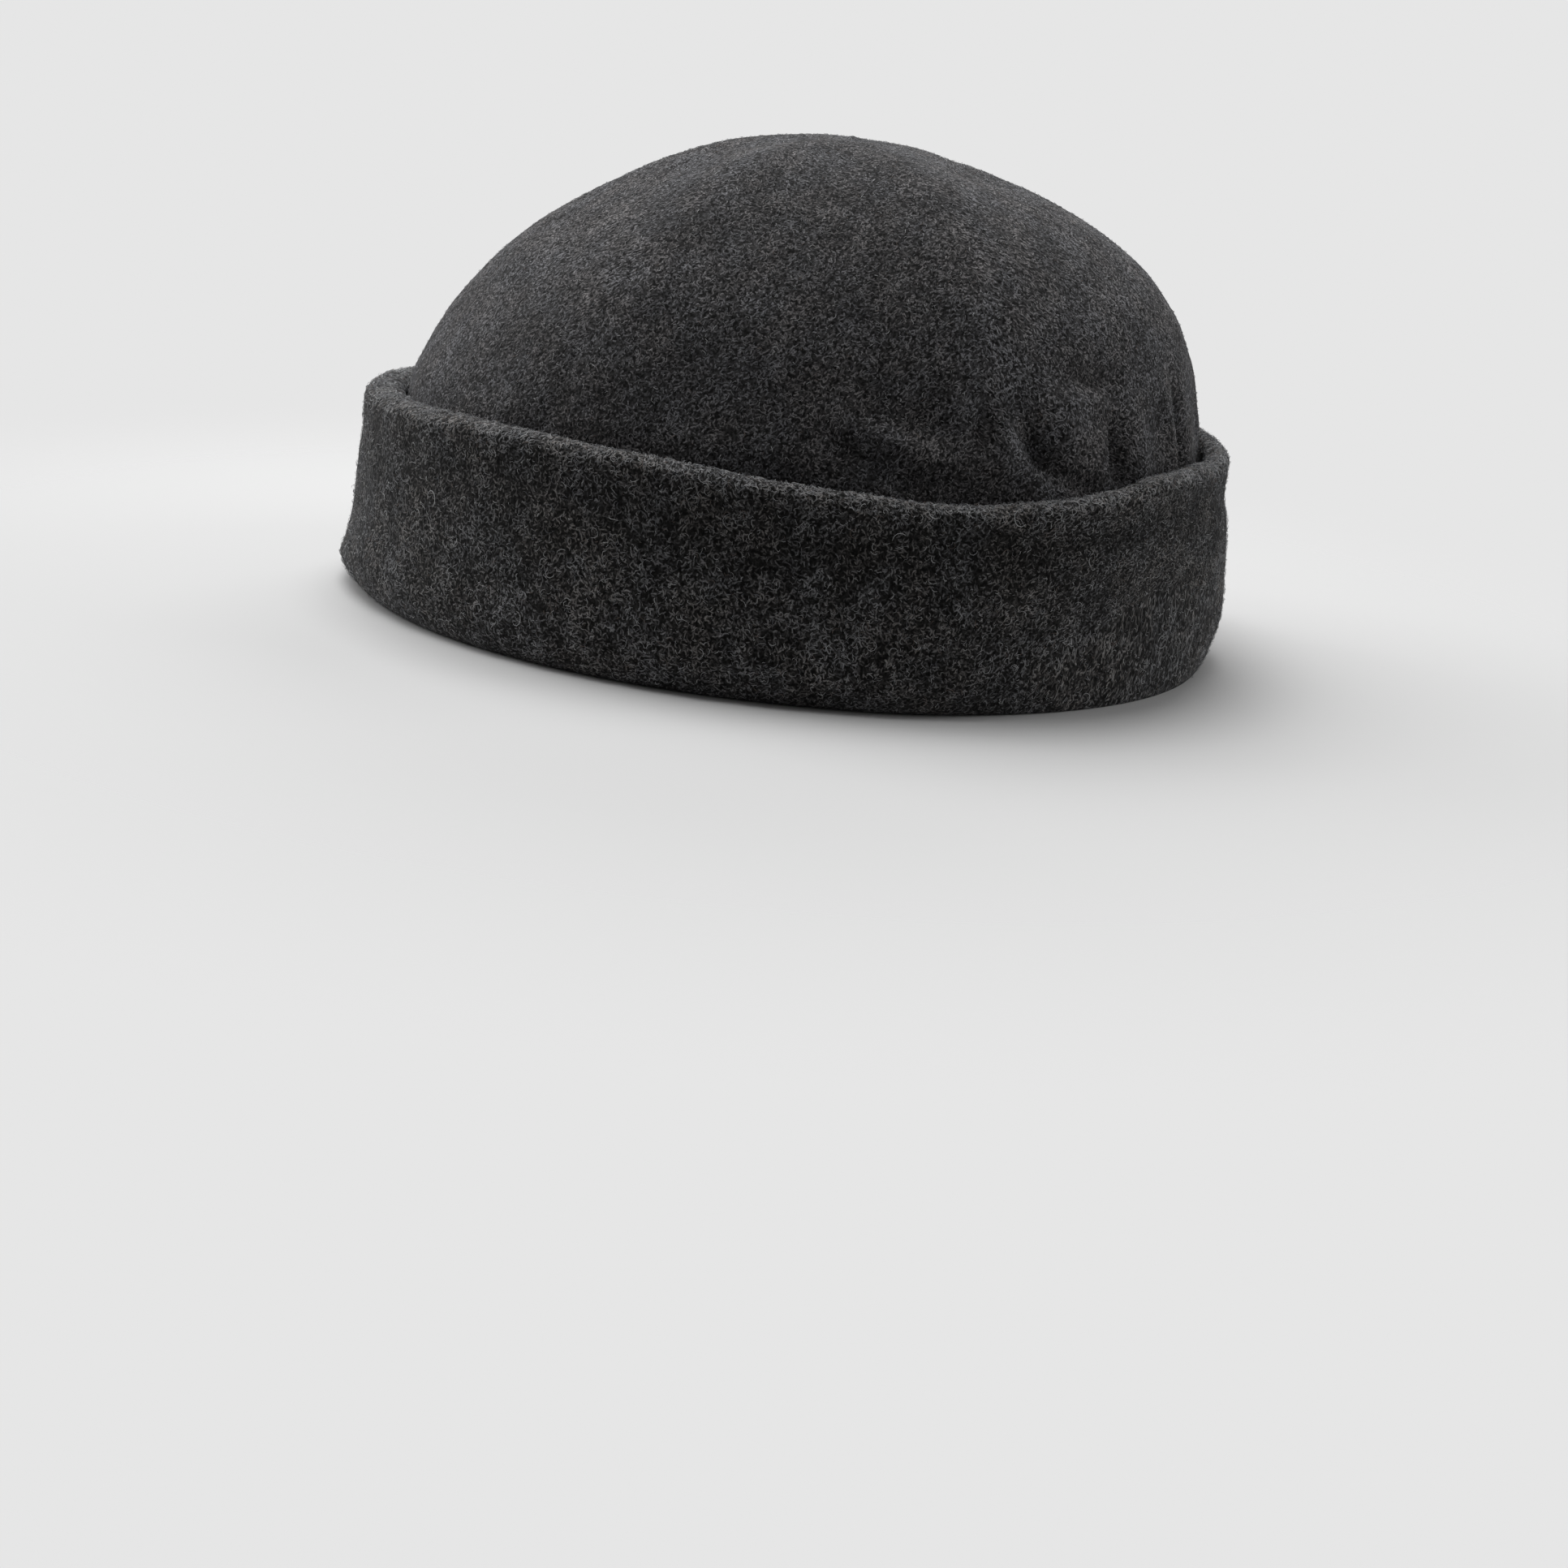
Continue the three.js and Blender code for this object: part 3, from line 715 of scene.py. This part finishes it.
def fibre_tree(name, shapes, shades):
    """Geometry Nodes that scatter arcs of wool over a cloth, by its attribute called nap. Each of
    the shapes has its sweep in degrees, its points, its side wave and its rise, and each of the
    shades a material and the share of the fibres that come before it."""
    tree = bpy.data.node_groups.new(name, "GeometryNodeTree")
    tree.interface.new_socket("Cloth", in_out="INPUT", socket_type="NodeSocketGeometry")
    for title in ("Fibres per square metre", "Arc radius", "Thickness", "Stand"):
        tree.interface.new_socket(title, in_out="INPUT", socket_type="NodeSocketFloat")
    tree.interface.new_socket("Seed", in_out="INPUT", socket_type="NodeSocketInt")
    tree.interface.new_socket("Fibres", in_out="OUTPUT", socket_type="NodeSocketGeometry")
    tip_share = 0.4
    sunk_share = 0.25
    size_range = (0.6, 1.35)
    given = add_node(tree, "NodeGroupInput").outputs
    bend = add_node(tree, "GeometryNodeSplineParameter").outputs["Factor"]
    arch = maths(tree, "SINE", maths(tree, "MULTIPLY", bend, math.pi))
    profile = add_node(tree, "GeometryNodeCurvePrimitiveCircle", {
        "Resolution": 3, "Radius": 0.5}).outputs["Curve"]
    thick = maths(tree, "DIVIDE", given["Thickness"], given["Arc radius"])
    taper = maths(tree, "MULTIPLY", thick, maths(tree, "ADD", maths(
        tree, "MULTIPLY", arch, 1 - tip_share), tip_share))
    join = add_node(tree, "GeometryNodeJoinGeometry")
    for sweep, points, wave, rise in reversed(shapes):
        arc = add_node(tree, "GeometryNodeCurveArc", {
            "Resolution": points, "Radius": 1.0, "Start Angle": -math.radians(sweep) / 2,
            "Sweep Angle": math.radians(sweep)}, mode="RADIUS")
        lift = maths(tree, "MULTIPLY", maths(tree, "SUBTRACT", arch, sunk_share), rise)
        sway = maths(tree, "MULTIPLY", maths(tree, "SINE", maths(
            tree, "MULTIPLY", bend, 2 * math.pi)), wave)
        offset = add_node(tree, "ShaderNodeCombineXYZ", {
            "X": maths(tree, "SUBTRACT", sway, math.cos(math.radians(sweep) / 4)), "Z": lift})
        bent = add_node(tree, "GeometryNodeSetPosition", {
            "Geometry": arc.outputs["Curve"], "Offset": offset.outputs[0]})
        tube = add_node(tree, "GeometryNodeCurveToMesh", {
            "Curve": bent.outputs[0], "Profile Curve": profile, "Scale": taper,
            "Fill Caps": True})
        one = add_node(tree, "GeometryNodeGeometryToInstance", {"Geometry": tube.outputs[0]})
        tree.links.new(one.outputs[0], join.inputs[0])
    nap = add_node(tree, "GeometryNodeInputNamedAttribute", {"Name": "nap"}, data_type="FLOAT")
    density = maths(tree, "MULTIPLY", nap.outputs[0], given["Fibres per square metre"])
    scatter = add_node(tree, "GeometryNodeDistributePointsOnFaces", {
        "Mesh": given["Cloth"], "Density": density, "Seed": given["Seed"]},
        distribute_method="RANDOM")
    spin = add_node(tree, "FunctionNodeAxisAngleToRotation", {
        "Axis": (0, 0, 1), "Angle": random_value(tree, "FLOAT", 0.0, math.tau, 1)})
    spun = add_node(tree, "FunctionNodeRotateRotation", {
        "Rotation": scatter.outputs["Rotation"], "Rotate By": spin.outputs[0]},
        rotation_space="LOCAL")
    tilt = add_node(tree, "ShaderNodeVectorMath", {
        0: random_value(tree, "FLOAT_VECTOR", (-1, -1, 0), (1, 1, 0), 2)}, operation="SCALE")
    tree.links.new(given["Stand"], tilt.inputs["Scale"])
    tipped = add_node(tree, "FunctionNodeEulerToRotation", {"Euler": tilt.outputs[0]})
    rotation = add_node(tree, "FunctionNodeRotateRotation", {
        "Rotation": spun.outputs[0], "Rotate By": tipped.outputs[0]}, rotation_space="LOCAL")
    size = maths(tree, "MULTIPLY", given["Arc radius"],
                 random_value(tree, "FLOAT", *size_range, 3))
    placed = add_node(tree, "GeometryNodeInstanceOnPoints", {
        "Points": scatter.outputs["Points"], "Instance": join.outputs[0], "Pick Instance": True,
        "Instance Index": maths(tree, "FLOOR", random_value(
            tree, "FLOAT", 0.0, len(shapes) - 0.001, 4)),
        "Rotation": rotation.outputs[0], "Scale": size})
    marked = add_node(tree, "GeometryNodeStoreNamedAttribute", {
        "Geometry": placed.outputs[0], "Name": "shade",
        "Value": random_value(tree, "FLOAT", 0.0, 1.0, 5)}, data_type="FLOAT", domain="INSTANCE")
    real = add_node(tree, "GeometryNodeRealizeInstances", {"Geometry": marked.outputs[0]})
    shade = add_node(tree, "GeometryNodeInputNamedAttribute", {"Name": "shade"}, data_type="FLOAT")
    finished = add_node(tree, "GeometryNodeSetShadeSmooth", {"Geometry": real.outputs[0]})
    for material, share in shades:
        chosen = maths(tree, "GREATER_THAN", shade.outputs[0], share)
        finished = add_node(tree, "GeometryNodeSetMaterial", {
            "Geometry": finished.outputs[0], "Selection": chosen, "Material": material})
    add_node(tree, "NodeGroupOutput", {0: finished.outputs[0]})
    return tree


def scatter_fibres(name, bed, tree, values):
    """Adds a piece of loose fibres grown on a bed of cloth that has the attribute nap."""
    made = bpy.data.objects.new(name, bed)
    bpy.context.scene.collection.objects.link(made)
    growth = made.modifiers.new("growth", "NODES")
    growth.node_group = tree
    for item in tree.interface.items_tree:
        if item.name in values:
            growth[item.identifier] = values[item.name]
    mesh = bpy.data.meshes.new_from_object(
        made.evaluated_get(bpy.context.evaluated_depsgraph_get()))
    made.modifiers.remove(growth)
    made.data = mesh
    mesh.name = name
    mesh.attributes.remove(mesh.attributes["shade"])
    mesh.materials.pop(index=0)
    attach(made, "root")


def fibre_bed(name, points, faces, nap):
    """A mesh that only carries the nap for the fibres to grow on."""
    mesh = bpy.data.meshes.new(name)
    mesh.from_pydata(points.tolist(), [], faces)
    mesh.attributes.new("nap", "FLOAT", "POINT").data.foreach_set("value", nap)
    return mesh


pale_hair = plain_fibre("pale_wool_hair", (0.45, 0.455, 0.46, 1))
grey_hair = plain_fibre("grey_wool_hair", (0.27, 0.273, 0.28, 1))
slate_hair = plain_fibre("slate_wool_hair", (0.13, 0.137, 0.15, 1))
brown_hair = plain_fibre("brown_wool_hair", (0.15, 0.12, 0.105, 1))

# The cuff's fibres are long and strongly curled
curl_shapes = [(60, 4, 0.1, 0.3), (90, 4, -0.14, 0.35), (45, 3, 0.0, 0.3), (150, 5, 0.08, 0.3),
               (75, 4, 0.16, 0.6), (230, 7, 0.1, 0.25), (55, 4, -0.1, 0.8), (70, 3, 0.0, 0.5)]
curl_tree = fibre_tree("cuff curls", curl_shapes, [
    (pale_hair, -1.0), (grey_hair, 0.3), (slate_hair, 0.72), (brown_hair, 0.94)])
bare_foot = 0.8 * mm
bare_fade = 2.5 * mm
low_edge = smooth((band[..., 2] - bare_foot) / bare_fade)
inner_fade_steps = 8
outer_share = smooth((last_edge_step + inner_fade_steps - step_at) / inner_fade_steps)
# The hairs grow denser where the cuff's tone and painted highlight are lighter, and most along the
# rim
curl_nap = low_edge * outer_share * np.clip(1.6 * cuff_tone_and_painted_light - 0.5, 0.1, 2) * (1 + 1.2 * rim_highlight_and_hairs)
curl_bed = fibre_bed("curl_bed", band.reshape(-1, 3), band_faces, curl_nap.ravel())
for number, seed in enumerate((11, 23, 37), 1):
    scatter_fibres(f"cuff_curls_{number}", curl_bed, curl_tree, {
        "Fibres per square metre": 240000.0, "Arc radius": 0.85 * mm, "Thickness": 0.1 * mm,
        "Stand": 0.6, "Seed": seed})

# A few long hairs have worked loose and lie on the cuff in large loops
loop_shapes = [(300, 10, 0.08, 0.12), (240, 9, -0.12, 0.15), (130, 7, 0.2, 0.25)]
loop_tree = fibre_tree("cuff loops", loop_shapes, [(pale_hair, -1.0), (grey_hair, 0.6)])
scatter_fibres("cuff_loops", curl_bed, loop_tree, {
    "Fibres per square metre": 2600.0, "Arc radius": 1.35 * mm, "Thickness": 0.13 * mm,
    "Stand": 0.25, "Seed": 3})

# The crown's are short, fine and lie close
nap_shapes = [(70, 3, 0.0, 0.2), (110, 4, 0.1, 0.2), (50, 3, 0.0, 0.4)]
nap_tree = fibre_tree("crown nap", nap_shapes, [
    (grey_hair, -1.0), (slate_hair, 0.45), (pale_hair, 0.8), (brown_hair, 0.95)])
nap_from = 36 * mm
nap_fade = 4 * mm
top_from = 70 * mm
top_fade = 40 * mm
top_more = 0.7
crown_nap = (smooth((skins[:, 2] - nap_from) / nap_fade)
             * (1 + top_more * smooth((skins[:, 2] - top_from) / top_fade)))
nap_bed = fibre_bed("nap_bed", skins, skin_faces, crown_nap)
for number, seed in enumerate((5, 17), 1):
    scatter_fibres(f"crown_nap_{number}", nap_bed, nap_tree, {
        "Fibres per square metre": 150000.0, "Arc radius": 0.75 * mm, "Thickness": 0.1 * mm,
        "Stand": 0.45, "Seed": seed})

# The floor
# A pale board that the cap stands on. It runs out into the pale room round it, so that no edge
# or horizon shows.
floor_radius = 0.6
floor_fade = (0.1, 0.3)
floor_material = bpy.data.materials.new("pale_board")
floor_material.use_nodes = True
floor_tree = floor_material.node_tree
floor_shader = floor_tree.nodes["Principled BSDF"]
floor_shader.inputs["Base Color"].default_value = (0.6, 0.6, 0.6, 1)
floor_shader.inputs["Roughness"].default_value = 1.0
floor_shader.inputs["Specular IOR Level"].default_value = 0.0
floor_place = add_node(floor_tree, "ShaderNodeTexCoord").outputs["Object"]
from_middle = add_node(floor_tree, "ShaderNodeVectorMath", {0: floor_place},
                       operation="LENGTH").outputs["Value"]
fading = spread(floor_tree, from_middle, *floor_fade, 0.0, 1.0)
clear = add_node(floor_tree, "ShaderNodeBsdfTransparent")
faded = add_node(floor_tree, "ShaderNodeMixShader", {
    0: fading, 1: floor_shader.outputs[0], 2: clear.outputs[0]})
floor_tree.links.new(faded.outputs[0], floor_tree.nodes["Material Output"].inputs["Surface"])
floor_points = [(x * floor_radius, y * floor_radius, 0) for x, y in
                ((-1, -1), (1, -1), (1, 1), (-1, 1))]
floor = new_piece("floor", floor_points, [(0, 1, 2, 3)], floor_material)

# The light
# A pale room with a faint even glow. Broad soft lamps stand above, at both sides and behind, and
# the side that the camera looks at has none, so the cloth there is darkest.
room = bpy.data.worlds.new("pale_room")
room.use_nodes = True
room_tree = room.node_tree
seen_wall = room_tree.nodes["Background"]
seen_wall.inputs["Color"].default_value = (0.791, 0.791, 0.791, 1)
glow = add_node(room_tree, "ShaderNodeBackground", {"Color": (1, 1, 1, 1), "Strength": 0.14})
straight = add_node(room_tree, "ShaderNodeLightPath").outputs["Is Camera Ray"]
walls = add_node(room_tree, "ShaderNodeMixShader", {
    0: straight, 1: glow.outputs[0], 2: seen_wall.outputs[0]})
room_tree.links.new(walls.outputs[0], room_tree.nodes["World Output"].inputs["Surface"])
bpy.context.scene.world = room
# Each lamp's name, place, side and watts
cap_middle = Vector((0, 0, 0.06))
lamps = [
    ("lamp_above", (-0.25, -0.35, 1.25), 1.1, 18.5),
    ("lamp_before", (-0.3, -1.25, 0.5), 0.8, 10),
    ("lamp_after", (-0.3, 1.25, 0.45), 0.8, 7),
    ("lamp_beyond", (-1.3, 0.1, 0.6), 0.9, 6.5),
]
for name, place, size, watts in lamps:
    lamp_data = bpy.data.lights.new(name, "AREA")
    lamp_data.size = size
    lamp_data.energy = watts
    lamp = bpy.data.objects.new(name, lamp_data)
    lamp.location = place
    toward_cap = cap_middle - Vector(place)
    lamp.rotation_euler = toward_cap.to_track_quat("-Z", "Y").to_euler()
    lamp.visible_camera = False
    bpy.context.scene.collection.objects.link(lamp)

# The camera
# It stands on the wearer's left a little behind, looks slightly down, and leans over, as the
# cap leans back in the photograph. The cap lies above the picture's middle.
picture_side = 1932
focal_pixels = 3300
camera_distance = 0.6598
camera_turn = math.radians(97.7)
camera_tilt = math.radians(13.0)
camera_lean = math.radians(5.2)
origin_pixel = (953.7, 757.0)
back = np.array([math.sin(camera_turn) * math.cos(camera_tilt),
                 -math.cos(camera_turn) * math.cos(camera_tilt), math.sin(camera_tilt)])
level = np.array([math.cos(camera_turn), math.sin(camera_turn), 0])
upright = np.cross(back, level)
right = level * math.cos(camera_lean) + upright * math.sin(camera_lean)
above = upright * math.cos(camera_lean) - level * math.sin(camera_lean)
# The picture's middle is aimed beside the origin, so that the origin falls on its pixel
aside = (origin_pixel[0] - picture_side / 2) / focal_pixels
over = (picture_side / 2 - origin_pixel[1]) / focal_pixels
aim = unit(-back - right * aside - above * over)
camera_right = unit(np.cross(aim, above))
camera_up = np.cross(camera_right, aim)
camera_data = bpy.data.cameras.new("camera")
camera_data.sensor_width = 36
camera_data.lens = focal_pixels / picture_side * camera_data.sensor_width
camera = bpy.data.objects.new("camera", camera_data)
turned = Matrix((camera_right, camera_up, -aim)).transposed().to_4x4()
camera.matrix_world = Matrix.Translation(Vector(back * camera_distance)) @ turned
bpy.context.scene.collection.objects.link(camera)
bpy.context.scene.camera = camera
bpy.context.scene.view_settings.view_transform = "Standard"
